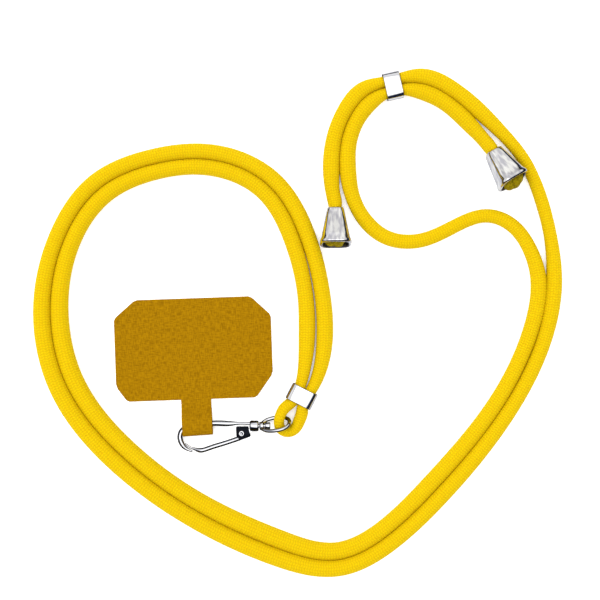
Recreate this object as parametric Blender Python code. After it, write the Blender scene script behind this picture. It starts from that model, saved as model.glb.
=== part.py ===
"""A phone crossbody strap, laid flat: doubled cord, two sleeves, two bells, snap hook, swivel ring, cloth patch.

Metres, +Z up. The surface it lies on is z = 0 and the origin is the centre of the patch's underside.
"""

import math
from collections import namedtuple

import bmesh
import bpy
import numpy as np
from mathutils import Matrix, Vector

# Clearance between two pieces that touch on the real strap
GAP = 0.0003

# Points of one mesh nearer than this are one point
WELD = 0.000002

# Scale and place of the picture that the cord's route is read from
PIXEL = 0.00042
ORIGIN_COLUMN = 193.0
ORIGIN_ROW = 349.0

# Cord
CORD_DIAMETER = 0.0068
CORD_SIDE_STEPS = 2
POINT_SPACING = 0.031
KNOT_RADIUS = 0.0040
NECK_GIRTH = 0.70

# Cloth patch and its tongue
CLOTH = 0.0009
PATCH_WIDTH = 0.0662
PATCH_DEPTH = 0.0427
PATCH_TURN = math.radians(2.0)
TAB_WIDTH = 0.0127
TAB_LENGTH = 0.0155
TAB_TURN = math.radians(3.6)
TAB_FROM_CENTRE = 0.0004
TAB_ROOT = 0.0020
TONGUE_INSET = 0.12
LOOP_LIFT = 0.0003
BAR_FROM_PATCH = 0.0108

# Snap hook
WIRE_RADIUS = 0.00112
HOOK_LENGTH = 0.0295
HOOK_DEPTH = 0.0116
HOOK_PITCH = math.radians(2.5)
HEAD_RADIUS = 0.00225
HEAD_LENGTH = 0.0036
HEAD_EDGE = 0.0004
STUD_RADIUS = 0.00075
STUD_HEAD_RADIUS = 0.00150
STUD_HEAD_LENGTH = 0.0021
EAR_THICKNESS = 0.0008
EAR_RADIUS = 0.0015
EAR_ROOT_SHARE = 0.45
EAR_ROOT_ALONG = 0.33
EAR_ROOT_DOWN = 0.75
SLOT_SLANT = 0.2
CHEEK = 0.00045
CHEEK_GAP = 0.0002
RIVET_RADIUS = 0.00062
RIVET_HEAD_RADIUS = 0.0013
RIVET_HEAD_HEIGHT = 0.0005
RIVET_TOP_SHARE = 0.45
RIVET_SHOULDER_SHARE = 0.85
RIVET_SHOULDER_DROP = 0.4
RIVET_CLEARANCE = 0.00012
ARM_RADIUS = 0.0010

# Swivel ring
RING_WIRE_RADIUS = 0.0008
RING_LENGTH = 0.0118
RING_WIDTH = 0.0080
RING_SQUARENESS = 2.3
RING_POINTS = 36
RING_BOSS_RADIUS = 0.0018
RING_BOSS_LENGTH = 0.0017
RING_BORE_CLEARANCE = 0.0005
RING_TURN = math.radians(8.0)
RING_PITCH = math.radians(5.0)
RING_ROLL = math.radians(-52.0)

# Sleeves
SLEEVE_LENGTH = 0.0070
SLEEVE_WIDTH = 0.0116
SLEEVE_HEIGHT = 0.0070
SLEEVE_WALL = 0.0006
SLEEVE_CORNER = 0.0014
SLEEVE_GIRTH = (SLEEVE_WIDTH - 2 * SLEEVE_WALL - 3 * GAP) / 2 / CORD_DIAMETER

# Bells
BELL_LENGTH = 0.0157
BELL_MOUTH = 0.0134
BELL_NECK = 0.0072
BELL_WALL = 0.0008
BELL_MOUTH_CORNER = 0.0027
BELL_NECK_CORNER = 0.0009
BELL_RIM_BEVEL = 0.0005

# Straight steps that stand for an arc or for a round
CORNER_STEPS = 3
ROUND_SIDES = 16
WIRE_SIDE_STEPS = 2
WIRE_PARTS = 2
EAR_STEPS = 8

# Each corner of the patch: the side it is on, and how far its cut reaches along and across, as shares of
# the width and the depth
Corner = namedtuple("Corner", "right top cut_width cut_depth")
PATCH_CORNERS = (
    Corner(-1, -1, 0.070, 0.150),
    Corner(1, -1, 0.110, 0.230),
    Corner(1, 1, 0.127, 0.190),
    Corner(-1, 1, 0.137, 0.180),
)

# The space inside the tongue's loop: where along the tongue, and the space's floor and roof there, as shares
# of the tongue's length and of the bar's thickness with its clearance
Fold = namedtuple("Fold", "along low high")
TAB_FOLDS = (
    Fold(0.24, 0.00, 0.14),
    Fold(0.40, 0.00, 0.62),
    Fold(0.50, 0.00, 0.88),
    Fold(0.60, 0.00, 1.00),
    Fold(0.80, 0.00, 1.00),
    Fold(0.87, 0.07, 0.93),
    Fold(0.92, 0.24, 0.76),
)
TAB_FOLD_END = 0.94

# The hook's wires: shares of its length, counted from the nose, and of its depth, counted from the spine,
# and the wire's thickness as a share
Bend = namedtuple("Bend", "along down girth")
SPINE_BENDS = (
    Bend(1.04, 0.010, 0.55),
    Bend(0.93, 0.000, 0.50),
    Bend(0.82, 0.000, 0.60),
    Bend(0.72, 0.010, 0.95),
    Bend(0.46, 0.005, 1.00),
    Bend(0.25, 0.080, 1.00),
    Bend(0.10, 0.155, 1.00),
    Bend(0.025, 0.290, 1.00),
    Bend(0.000, 0.480, 1.00),
    Bend(0.017, 0.690, 1.00),
    Bend(0.060, 0.860, 0.85),
    Bend(0.115, 0.958, 0.56),
    Bend(0.165, 1.010, 0.42),
)
ARM_BENDS = (
    Bend(0.085, 0.752, 0.34),
    Bend(0.125, 0.840, 0.40),
    Bend(0.175, 0.905, 0.45),
    Bend(0.225, 0.947, 0.70),
    Bend(0.285, 0.985, 1.00),
    Bend(0.350, 0.960, 1.00),
    Bend(0.435, 0.885, 1.00),
    Bend(0.630, 0.730, 1.00),
    Bend(0.850, 0.540, 1.00),
)
BAR_BEND = Bend(0.25, 0.080, 1.00)
RIVET_BEND = Bend(0.882, 0.366, 1.00)
HEAD_AXIS_BEND = Bend(1.00, 0.091, 1.00)

# The hinge plate's corners round the rivet, in shares of the hook's depth
Plate = namedtuple("Plate", "right up")
GATE_PLATE = (
    Plate(-0.200, 0.250),
    Plate(-0.185, -0.100),
    Plate(-0.060, -0.250),
    Plate(0.330, -0.100),
    Plate(0.270, 0.120),
    Plate(0.235, 0.250),
)

# The cord's doubled runs: the seam between the two, in picture pixels, the cord's thickness there as a
# share, and how far the two stand apart beyond their clearance, in metres
Seam = namedtuple("Seam", "column row girth parting")
TOP_PAIR = (
    Seam(339.6, 172.0, 0.95, 0.0002),
    Seam(341.4, 141.0, 0.90, 0.0),
    Seam(353.0, 112.0, 0.89, 0.0),
    Seam(369.0, 94.6, 0.86, 0.0),
    Seam(384.6, 87.9, SLEEVE_GIRTH, 0.0),
    Seam(401.2, 84.1, SLEEVE_GIRTH, 0.0),
    Seam(418.0, 83.5, 0.86, 0.0),
    Seam(449.6, 96.7, 0.91, 0.0),
    Seam(474.0, 117.5, 0.92, 0.0003),
)
MAIN_PAIR = (
    Seam(546.0, 278.0, 0.91, 0.0002),
    Seam(538.4, 331.0, 0.90, 0.0),
    Seam(499.5, 411.0, 0.90, 0.0),
    Seam(435.0, 490.0, 0.96, 0.0),
    Seam(391.0, 532.2, 0.94, 0.0),
    Seam(338.0, 559.0, 0.99, 0.0),
    Seam(277.5, 547.6, 1.06, 0.0),
    Seam(195.0, 509.2, 1.04, 0.0),
    Seam(121.6, 455.3, 1.05, 0.0),
    Seam(66.6, 383.7, 1.06, 0.0),
    Seam(51.0, 310.0, 1.03, 0.0),
    Seam(66.1, 236.4, 0.94, 0.0),
    Seam(100.5, 188.6, 0.95, 0.0),
    Seam(154.0, 164.5, 0.90, 0.0),
    Seam(213.4, 160.5, 0.91, 0.0),
    Seam(268.5, 185.8, 0.92, 0.0),
    Seam(299.7, 237.6, 0.92, 0.0002),
    Seam(314.0, 296.3, 0.91, 0.0006),
    Seam(315.6, 341.0, 0.93, 0.0008),
    Seam(305.6, 388.3, SLEEVE_GIRTH, 0.0),
    Seam(297.6, 404.0, SLEEVE_GIRTH, 0.0),
)
TOP_SLEEVE_ROW = 4
LOWER_SLEEVE_ROW = 19

# The cord's single runs: picture pixels, height of its middle in metres, and thickness as a share
Spot = namedtuple("Spot", "column row height girth")
FROM_LEFT_BELL = (Spot(333.0, 193.5, 0.0033, 0.90),)
RIGHT_SIDE = (
    Spot(499.2, 130.3, 0.0030, 0.86),
    Spot(524.6, 160.9, 0.0027, 0.78),
    Spot(533.4, 178.2, 0.0027, 0.79),
    Spot(540.4, 197.0, 0.0028, 0.82),
    Spot(550.6, 237.0, 0.0029, 0.82),
)
RING_TURNS = (
    Spot(302.0, 412.0, 0.0033, 0.76),
    Spot(299.2, 421.0, 0.0030, 0.75),
    Spot(294.8, 428.8, 0.0028, 0.70),
    Spot(287.6, 432.2, 0.0029, 0.64),
    Spot(281.0, 429.0, 0.0038, 0.64),
    Spot(279.0, 422.6, 0.0050, 0.64),
    Spot(280.2, 415.4, 0.0055, 0.66),
    Spot(285.0, 407.4, 0.0046, 0.72),
)
MIDDLE_WAVE = (
    Spot(529.4, 248.5, 0.0031, 0.90),
    Spot(511.4, 224.8, 0.0030, 0.88),
    Spot(488.0, 215.8, 0.0029, 0.85),
    Spot(455.0, 226.0, 0.0029, 0.84),
    Spot(418.0, 240.9, 0.0030, 0.88),
    Spot(385.0, 236.8, 0.0031, 0.91),
    Spot(366.4, 221.8, 0.0032, 0.93),
    Spot(353.2, 198.5, 0.0032, 0.92),
)
TO_RIGHT_BELL = (Spot(484.2, 140.6, 0.0034, 0.87),)

# Each bell: the middle of its neck in picture pixels, the way its mouth points, its roll, and how far the
# knot stands out of its mouth
Bell = namedtuple("Bell", "name column row heading roll knot_out")
LEFT_BELL = Bell("left_bell", 335.2, 208.6, math.radians(-89.4), 0.0, 0.0002)
RIGHT_BELL = Bell("right_bell", 492.6, 151.8, math.radians(-57.6), math.radians(-14.0), 0.0021)

# The knotted end inside a bell: shares of the bell's length, and of the knot's radius
Lump = namedtuple("Lump", "along girth")
KNOT_LUMPS = (Lump(0.42, 0.66), Lump(0.66, 1.00), Lump(0.92, 0.92))

# Finish
YELLOW = (0.93, 0.62, 0.005, 1.0)
OCHRE = (0.45, 0.22, 0.008, 1.0)
CHROME = (0.80, 0.80, 0.82, 1.0)


def clear_scene():
    for thing in list(bpy.data.objects):
        bpy.data.objects.remove(thing, do_unlink=True)


def give_material(thing, colour, roughness, metallic):
    material = bpy.data.materials.new(thing.name)
    material.use_nodes = True
    surface = material.node_tree.nodes["Principled BSDF"]
    surface.inputs["Base Color"].default_value = colour
    surface.inputs["Roughness"].default_value = roughness
    surface.inputs["Metallic"].default_value = metallic
    thing.data.materials.append(material)


def give_chrome(thing):
    give_material(thing, CHROME, 0.12, 1.0)


def add_object(name, data, matrix=None, parent=None):
    thing = bpy.data.objects.new(name, data)
    bpy.context.scene.collection.objects.link(thing)
    if parent is not None:
        thing.parent = parent
    if matrix is not None:
        thing.matrix_local = matrix
    return thing


def hide_helper(thing):
    thing.hide_render = True
    thing.display_type = "WIRE"


def combine(thing, other, operation):
    """Unites another solid with this one, or cuts it away."""
    hide_helper(other)
    modifier = thing.modifiers.new(other.name, "BOOLEAN")
    modifier.operation = operation
    modifier.object = other


def on_surface(column, row, height=0.0):
    return Vector(
        ((column - ORIGIN_COLUMN) * PIXEL, (ORIGIN_ROW - row) * PIXEL, height)
    )


def ring_mesh(name, rings, closed):
    """Skins rings of points that have as many points each: end to end, or round to the first ring again."""
    shape = bmesh.new()
    loops = [[shape.verts.new(point) for point in ring] for ring in rings]
    pairs = list(zip(loops, loops[1:]))
    if closed:
        pairs.append((loops[-1], loops[0]))
    else:
        shape.faces.new(loops[0])
        shape.faces.new(loops[-1])
    for first, second in pairs:
        for i in range(len(first)):
            j = (i + 1) % len(first)
            shape.faces.new((first[i], first[j], second[j], second[i]))
    bmesh.ops.recalc_face_normals(shape, faces=shape.faces)
    mesh = bpy.data.meshes.new(name)
    shape.to_mesh(mesh)
    shape.free()
    return mesh


def smooth_faces(thing, degrees):
    thing.data.shade_smooth()
    thing.data.set_sharp_from_angle(angle=math.radians(degrees))


def slab(name, outline, low, high):
    """A flat plate of an outline in X and Y, from one height to another."""
    return ring_mesh(
        name,
        [[(x, y, z) for x, y in outline] for z in (low, high)],
        closed=False,
    )


def circle(radius, centre=(0.0, 0.0)):
    turns = [2 * math.pi * i / ROUND_SIDES for i in range(ROUND_SIDES)]
    return [
        (centre[0] + radius * math.cos(a), centre[1] + radius * math.sin(a))
        for a in turns
    ]


def turned(name, profile):
    """A round piece along X, from (distance, radius) pairs."""
    return ring_mesh(
        name,
        [[(x, y, z) for y, z in circle(radius)] for x, radius in profile],
        closed=False,
    )


def rounded_rectangle(half_width, half_height, corner, steps):
    """The outline's points, with an arc of so many steps at each corner."""
    points = []
    for quarter in range(4):
        side = 1 if quarter in (0, 3) else -1
        level = 1 if quarter in (0, 1) else -1
        for step in range(steps + 1):
            turn = (quarter + step / steps) * math.pi / 2
            points.append(
                (
                    side * (half_width - corner) + corner * math.cos(turn),
                    level * (half_height - corner) + corner * math.sin(turn),
                )
            )
    return points


def wire_mesh(name, points, radii, cyclic):
    """A round wire through the points, each with its own radius."""
    curve = bpy.data.curves.new(name, "CURVE")
    curve.dimensions = "3D"
    curve.bevel_depth = 1.0
    curve.bevel_resolution = WIRE_SIDE_STEPS
    curve.use_fill_caps = True
    spline = curve.splines.new("POLY")
    spline.points.add(len(points) - 1)
    for place, point, radius in zip(spline.points, points, radii):
        place.co = (*point, 1.0)
        place.radius = radius
    spline.use_cyclic_u = cyclic
    guide = bpy.data.objects.new(name, curve)
    mesh = bpy.data.meshes.new_from_object(guide)
    bpy.data.objects.remove(guide)
    shape = bmesh.new()
    shape.from_mesh(mesh)
    bmesh.ops.remove_doubles(shape, verts=shape.verts, dist=WELD)
    bmesh.ops.recalc_face_normals(shape, faces=shape.faces)
    shape.to_mesh(mesh)
    shape.free()
    return mesh


def spline_slopes(rows):
    """The slopes of the natural cubic curve through the rows, and its distances from row to row."""
    steps = np.linalg.norm(np.diff(rows[:, :2], axis=0), axis=1)
    count = len(rows)
    matrix = np.zeros((count, count))
    target = np.zeros(rows.shape)
    matrix[0, :2] = (2.0, 1.0)
    target[0] = 3 * (rows[1] - rows[0]) / steps[0]
    matrix[-1, -2:] = (1.0, 2.0)
    target[-1] = 3 * (rows[-1] - rows[-2]) / steps[-1]
    for i in range(1, count - 1):
        before, after = steps[i - 1], steps[i]
        matrix[i, i - 1 : i + 2] = (after, 2 * (before + after), before)
        rise_before = (rows[i] - rows[i - 1]) / before
        rise_after = (rows[i + 1] - rows[i]) / after
        target[i] = 3 * (after * rise_before + before * rise_after)
    return np.linalg.solve(matrix, target), steps


def smooth_rows(rows, parts):
    """Rows read from the smooth curve through the given ones, so many for each stretch."""
    slopes, steps = spline_slopes(rows)
    read = []
    for i, count in enumerate(parts):
        for part in range(count):
            t = part / count
            first = (1 + 2 * t) * (1 - t) ** 2 * rows[i]
            second = t * t * (3 - 2 * t) * rows[i + 1]
            leaving = t * (1 - t) ** 2 * steps[i] * slopes[i]
            arriving = t * t * (t - 1) * steps[i] * slopes[i + 1]
            read.append(first + second + leaving + arriving)
    read.append(rows[-1])
    return np.array(read)


def lane_rows(seams, side):
    """One cord of a doubled run, on the left (1) or right (-1) of the way along its seam."""
    middle = np.array([on_surface(seam.column, seam.row)[:2] for seam in seams])
    slopes, _ = spline_slopes(middle)
    rows = []
    for seam, place, slope in zip(seams, middle, slopes):
        across = np.array((-slope[1], slope[0])) / np.linalg.norm(slope)
        thickness = CORD_DIAMETER * seam.girth
        x, y = place + side * across * (thickness + GAP + seam.parting) / 2
        height = SLEEVE_HEIGHT / 2 if seam.girth == SLEEVE_GIRTH else thickness / 2
        rows.append((x, y, height, thickness / 2))
    return rows


def single_rows(spots):
    return [
        (*on_surface(spot.column, spot.row, spot.height), CORD_DIAMETER * spot.girth / 2)
        for spot in spots
    ]


def bell_support(half, corner, roll):
    """How high the middle of a rounded square section lies above the surface that it rests on."""
    reach = math.cos(roll) + abs(math.sin(roll))
    return (half - corner) * reach + corner


def bell_matrix(bell):
    """The bell's own X runs from its neck to its mouth. It rests on one long side, so its mouth is higher."""
    neck = bell_support(BELL_NECK / 2, BELL_NECK_CORNER, bell.roll)
    mouth = bell_support(BELL_MOUTH / 2, BELL_MOUTH_CORNER, bell.roll)
    pitch = math.asin((mouth - neck) / BELL_LENGTH)
    place = on_surface(bell.column, bell.row, neck * math.cos(pitch))
    turn = Matrix.Rotation(bell.heading, 4, "Z") @ Matrix.Rotation(-pitch, 4, "Y")
    return Matrix.Translation(place) @ turn @ Matrix.Rotation(bell.roll, 4, "X")


def neck_hole_radius():
    return CORD_DIAMETER * NECK_GIRTH / 2 + GAP


def knot_rows(bell):
    """The cord from a bell's neck to the end of the knot in its mouth."""
    matrix = bell_matrix(bell)
    through = neck_hole_radius() - GAP
    rows = [(*(matrix @ Vector((at, 0.0, 0.0))), through) for at in (0.0, 2 * BELL_WALL)]
    length = BELL_LENGTH + bell.knot_out
    for lump in KNOT_LUMPS:
        rows.append(
            (*(matrix @ Vector((lump.along * length, 0.0, 0.0))), KNOT_RADIUS * lump.girth)
        )
    rows.append((*(matrix @ Vector((length, 0.0, 0.0))), KNOT_RADIUS / 2))
    return rows


def stretch_parts(rows, longest):
    steps = np.linalg.norm(np.diff(np.array(rows)[:, :2], axis=0), axis=1)
    return [max(1, round(step / longest)) for step in steps]


def cord_rows():
    """The cord from end to end: position and radius of each of its points."""
    start = knot_rows(LEFT_BELL)[::-1]
    end = knot_rows(RIGHT_BELL)
    route = start + single_rows(FROM_LEFT_BELL) + lane_rows(TOP_PAIR, 1)
    route += single_rows(RIGHT_SIDE) + lane_rows(MAIN_PAIR, 1)
    route += single_rows(RING_TURNS) + lane_rows(MAIN_PAIR, -1)[::-1]
    route += single_rows(MIDDLE_WAVE) + lane_rows(TOP_PAIR, -1)
    route += single_rows(TO_RIGHT_BELL) + end
    middle = [(*on_surface(seam.column, seam.row),) for seam in MAIN_PAIR]
    shared = stretch_parts(middle, POINT_SPACING)
    parts = stretch_parts(route, POINT_SPACING)
    outer = len(start) + len(FROM_LEFT_BELL) + len(TOP_PAIR) + len(RIGHT_SIDE)
    inner = outer + len(MAIN_PAIR) + len(RING_TURNS)
    parts[outer : outer + len(shared)] = shared
    parts[inner : inner + len(shared)] = shared[::-1]
    read = smooth_rows(np.array(route), parts)
    read[:, 2] = np.maximum(read[:, 2], read[:, 3])
    return read


def make_cord():
    rows = cord_rows()
    curve = bpy.data.curves.new("cord", "CURVE")
    curve.dimensions = "3D"
    curve.bevel_depth = CORD_DIAMETER / 2
    curve.bevel_resolution = CORD_SIDE_STEPS
    curve.use_fill_caps = True
    spline = curve.splines.new("POLY")
    spline.points.add(len(rows) - 1)
    for place, (x, y, z, radius) in zip(spline.points, rows):
        place.co = (x, y, z, 1.0)
        place.radius = radius / (CORD_DIAMETER / 2)
    give_material(add_object("cord", curve), YELLOW, 0.65, 0.0)


def sleeve_matrix(seams, row):
    """Between two rows of a seam, with its own X along the cord."""
    first = on_surface(seams[row].column, seams[row].row)
    second = on_surface(seams[row + 1].column, seams[row + 1].row)
    way = second - first
    middle = (first + second) / 2 + Vector((0.0, 0.0, SLEEVE_HEIGHT / 2))
    return Matrix.Translation(middle) @ Matrix.Rotation(math.atan2(way.y, way.x), 4, "Z")


def make_sleeve(name, seams, row):
    outer = rounded_rectangle(SLEEVE_WIDTH / 2, SLEEVE_HEIGHT / 2, SLEEVE_CORNER, CORNER_STEPS)
    inner = rounded_rectangle(
        SLEEVE_WIDTH / 2 - SLEEVE_WALL,
        SLEEVE_HEIGHT / 2 - SLEEVE_WALL,
        SLEEVE_CORNER - SLEEVE_WALL,
        CORNER_STEPS,
    )
    half = SLEEVE_LENGTH / 2
    rings = [
        [(x, y, z) for y, z in outline]
        for outline, x in ((outer, -half), (outer, half), (inner, half), (inner, -half))
    ]
    sleeve = add_object(name, ring_mesh(name, rings, closed=True), sleeve_matrix(seams, row))
    smooth_faces(sleeve, 30)
    give_chrome(sleeve)


def make_bell(bell):
    """Outer wall from neck to mouth, round the rim, back inside, and through the cord's hole."""

    def section(at, inset):
        share = at / BELL_LENGTH
        half = (BELL_NECK + (BELL_MOUTH - BELL_NECK) * share) / 2 - inset
        corner = BELL_NECK_CORNER + (BELL_MOUTH_CORNER - BELL_NECK_CORNER) * share
        corner = max(corner - inset, BELL_NECK_CORNER / 2)
        return [(at, y, z) for y, z in rounded_rectangle(half, half, corner, CORNER_STEPS)]

    def hole(at):
        sides = 4 * (CORNER_STEPS + 1)
        turns = [2 * math.pi * (i + 0.5) / sides for i in range(sides)]
        radius = neck_hole_radius()
        return [(at, radius * math.cos(a), radius * math.sin(a)) for a in turns]

    rings = [
        section(0.0, 0.0),
        section(BELL_LENGTH - BELL_RIM_BEVEL, 0.0),
        section(BELL_LENGTH, BELL_RIM_BEVEL / 2),
        section(BELL_LENGTH, BELL_WALL),
        section(BELL_WALL, BELL_WALL),
        hole(BELL_WALL),
        hole(0.0),
    ]
    thing = add_object(bell.name, ring_mesh(bell.name, rings, closed=True), bell_matrix(bell))
    smooth_faces(thing, 25)
    give_chrome(thing)


def tab_matrix():
    """The tongue's own X runs out from the patch's lower edge, and its Y across."""
    turn = Matrix.Rotation(PATCH_TURN, 4, "Z")
    root = turn @ Vector((TAB_FROM_CENTRE, -PATCH_DEPTH / 2, 0.0))
    return Matrix.Translation(root) @ Matrix.Rotation(TAB_TURN - math.pi / 2, 4, "Z")


def bar_height():
    return LOOP_LIFT + CLOTH + GAP + WIRE_RADIUS


def loop_outline(inset):
    """The side view of the tongue's loop, as (along, height, rise): its space, or that grown by the cloth.

    Rise goes from 0 at the loop's root to 1 at the bar, where the lower layer is lifted clear of the surface.
    """
    root = TAB_FOLDS[0].along
    bar_share = BAR_FROM_PATCH / TAB_LENGTH
    room = 2 * (WIRE_RADIUS + GAP)
    upper = []
    lower = []
    for fold in TAB_FOLDS:
        rise = min(1.0, (fold.along - root) / (bar_share - root))
        floor = CLOTH + LOOP_LIFT * rise
        upper.append((fold.along * TAB_LENGTH, floor + fold.high * room, rise))
        lower.append((fold.along * TAB_LENGTH, floor + fold.low * room, rise))
    points = upper + [(TAB_FOLD_END * TAB_LENGTH, bar_height(), 1.0)] + lower[::-1]
    return grown_outline(points, inset)


def grown_outline(points, inset):
    """Each point of a closed outline moved outwards, square to its neighbours' line."""
    grown = []
    for i, (x, y, share) in enumerate(points):
        before = Vector(points[i - 1][:2])
        after = Vector(points[(i + 1) % len(points)][:2])
        way = (after - before).normalized()
        grown.append((x - way.y * inset, y + way.x * inset, share))
    return grown


def make_patch():
    """One cut of cloth: the card with its cut corners, and the tongue that goes round the hook's bar."""
    outline = []
    for corner in PATCH_CORNERS:
        x, y = corner.right * PATCH_WIDTH / 2, corner.top * PATCH_DEPTH / 2
        along = (x - corner.right * corner.cut_width * PATCH_WIDTH, y)
        up = (x, y - corner.top * corner.cut_depth * PATCH_DEPTH)
        outline += [up, along] if corner.right * corner.top > 0 else [along, up]
    card = add_object(
        "phone_patch",
        slab("phone_patch", outline[::-1], 0.0, CLOTH),
        Matrix.Rotation(PATCH_TURN, 4, "Z"),
    )
    inside, outside = loop_outline(0.0), loop_outline(CLOTH)
    half = TAB_WIDTH / 2
    slope = math.tan(HOOK_PITCH)
    rings = [
        [(along, side, height + side * slope * rise) for along, height, rise in points]
        for points, side in ((outside, -half), (outside, half), (inside, half), (inside, -half))
    ]
    loop = add_object("tongue_loop", ring_mesh("tongue_loop", rings, closed=True), tab_matrix())
    reach = TAB_FOLDS[0].along * TAB_LENGTH + CLOTH
    edge = [(-TAB_ROOT, -half), (reach, -half), (reach, half), (-TAB_ROOT, half)]
    tongue = add_object("tongue", slab("tongue", edge, TONGUE_INSET * CLOTH, (1 - TONGUE_INSET) * CLOTH), tab_matrix())
    combine(card, tongue, "UNION")
    combine(card, loop, "UNION")
    give_material(card, OCHRE, 0.85, 0.0)


def hook_point(bend, height=0.0):
    """A place on the hook, in its own frame: the bar inside the tongue's loop is at the origin."""
    return Vector(
        (
            (bend.along - BAR_BEND.along) * HOOK_LENGTH,
            (BAR_BEND.down - bend.down) * HOOK_DEPTH,
            height,
        )
    )


def hook_matrix():
    place = tab_matrix() @ Vector((BAR_FROM_PATCH, 0.0, bar_height()))
    return Matrix.Translation(place) @ Matrix.Rotation(-HOOK_PITCH, 4, "Y")


def smooth_wire(name, bends, radius, origin):
    rows = np.array([(*(hook_point(bend) - origin), radius * bend.girth) for bend in bends])
    read = smooth_rows(rows, [WIRE_PARTS] * (len(bends) - 1))
    return wire_mesh(name, read[:, :3], read[:, 3], False)


def gate_half_height():
    return EAR_THICKNESS / 2 + CHEEK_GAP + CHEEK


def make_hook_frame(seat):
    """Swivel head with its stud, spine, nose, and the ear that the gate turns on."""
    spine = smooth_wire("hook_frame", SPINE_BENDS, WIRE_RADIUS, Vector())
    frame = add_object("hook_frame", spine, None, seat)
    head_end = HEAD_LENGTH
    boss_reach = RING_BOSS_LENGTH / 2 + RING_BOSS_RADIUS * math.sin(RING_TURN)
    ring_middle = head_end + GAP + boss_reach
    stud_start = ring_middle + boss_reach + GAP
    stud_end = stud_start + STUD_HEAD_LENGTH
    profile = (
        (0.0, HEAD_RADIUS - HEAD_EDGE),
        (HEAD_EDGE, HEAD_RADIUS),
        (head_end - HEAD_EDGE, HEAD_RADIUS),
        (head_end, HEAD_RADIUS - HEAD_EDGE),
        (head_end, STUD_RADIUS),
        (stud_start, STUD_RADIUS),
        (stud_start, STUD_HEAD_RADIUS),
        (stud_end - HEAD_EDGE, STUD_HEAD_RADIUS),
        (stud_end, STUD_HEAD_RADIUS - HEAD_EDGE),
    )
    axis = Matrix.Translation(hook_point(HEAD_AXIS_BEND))
    head = add_object("swivel_head", turned("swivel_head", profile), axis, seat)
    rivet = hook_point(RIVET_BEND)
    into_head = Vector((EAR_ROOT_ALONG * HEAD_LENGTH, -EAR_ROOT_DOWN * HEAD_RADIUS, 0.0))
    root = hook_point(HEAD_AXIS_BEND) + into_head
    way = (root - rivet).normalized()
    turn = math.atan2(way.y, way.x)
    arc = [
        rivet + EAR_RADIUS * Vector((math.cos(turn + a), math.sin(turn + a), 0.0))
        for a in [math.pi / 2 + math.pi * i / EAR_STEPS for i in range(EAR_STEPS + 1)]
    ]
    side = EAR_ROOT_SHARE * EAR_RADIUS * Vector((-way.y, way.x, 0.0))
    outline = [(p.x, p.y) for p in arc + [root - side, root + side]]
    half = EAR_THICKNESS / 2
    ear = add_object("ear", slab("ear", outline, -half, half), None, seat)
    bore = circle(RIVET_RADIUS + RIVET_CLEARANCE, (rivet.x, rivet.y))
    hole = add_object("ear_hole", slab("ear_hole", bore, -EAR_RADIUS, EAR_RADIUS), None, seat)
    combine(frame, head, "UNION")
    combine(frame, ear, "UNION")
    combine(frame, hole, "DIFFERENCE")
    smooth_faces(frame, 40)
    give_chrome(frame)
    return hook_point(HEAD_AXIS_BEND) + Vector((ring_middle, 0.0, 0.0))


def make_gate(seat):
    """The arm that closes the hook, with its hinge plate folded round the ear. Its origin is the rivet."""
    rivet = hook_point(RIVET_BEND)
    place = Matrix.Translation(rivet)
    half = gate_half_height()
    arm_mesh = smooth_wire("gate_arm", ARM_BENDS, ARM_RADIUS, rivet)
    outline = [(p.right * HOOK_DEPTH, p.up * HOOK_DEPTH) for p in GATE_PLATE]
    gate = add_object("hook_gate", slab("hook_gate", outline, -half, half), place, seat)
    arm = add_object("gate_arm", arm_mesh, place, seat)
    slot_half = EAR_THICKNESS / 2 + CHEEK_GAP
    reach = EAR_RADIUS + GAP
    far = HOOK_DEPTH
    slanted = reach + SLOT_SLANT * far
    slot_outline = [(-reach, reach), (-reach, -far), (far, -far), (far, slanted), (0.0, reach)]
    slot = add_object("gate_slot", slab("gate_slot", slot_outline, -slot_half, slot_half), place, seat)
    bore = circle(RIVET_RADIUS + RIVET_CLEARANCE)
    hole = add_object("gate_hole", slab("gate_hole", bore, -2 * half, 2 * half), place, seat)
    combine(gate, slot, "DIFFERENCE")
    combine(gate, hole, "DIFFERENCE")
    combine(gate, arm, "UNION")
    give_chrome(gate)


def make_rivet(seat):
    half = gate_half_height() + RIVET_CLEARANCE
    top = half + RIVET_HEAD_HEIGHT
    drop = RIVET_HEAD_HEIGHT * RIVET_SHOULDER_DROP
    profile = (
        (-top, RIVET_HEAD_RADIUS * RIVET_TOP_SHARE),
        (drop - top, RIVET_HEAD_RADIUS * RIVET_SHOULDER_SHARE),
        (-half, RIVET_HEAD_RADIUS),
        (-half, RIVET_RADIUS),
        (half, RIVET_RADIUS),
        (half, RIVET_HEAD_RADIUS),
        (top - drop, RIVET_HEAD_RADIUS * RIVET_SHOULDER_SHARE),
        (top, RIVET_HEAD_RADIUS * RIVET_TOP_SHARE),
    )
    upright = Matrix.Rotation(-math.pi / 2, 4, "Y")
    place = Matrix.Translation(hook_point(RIVET_BEND)) @ upright
    rivet = add_object("gate_rivet", turned("gate_rivet", profile), place, seat)
    smooth_faces(rivet, 40)
    give_chrome(rivet)


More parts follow.
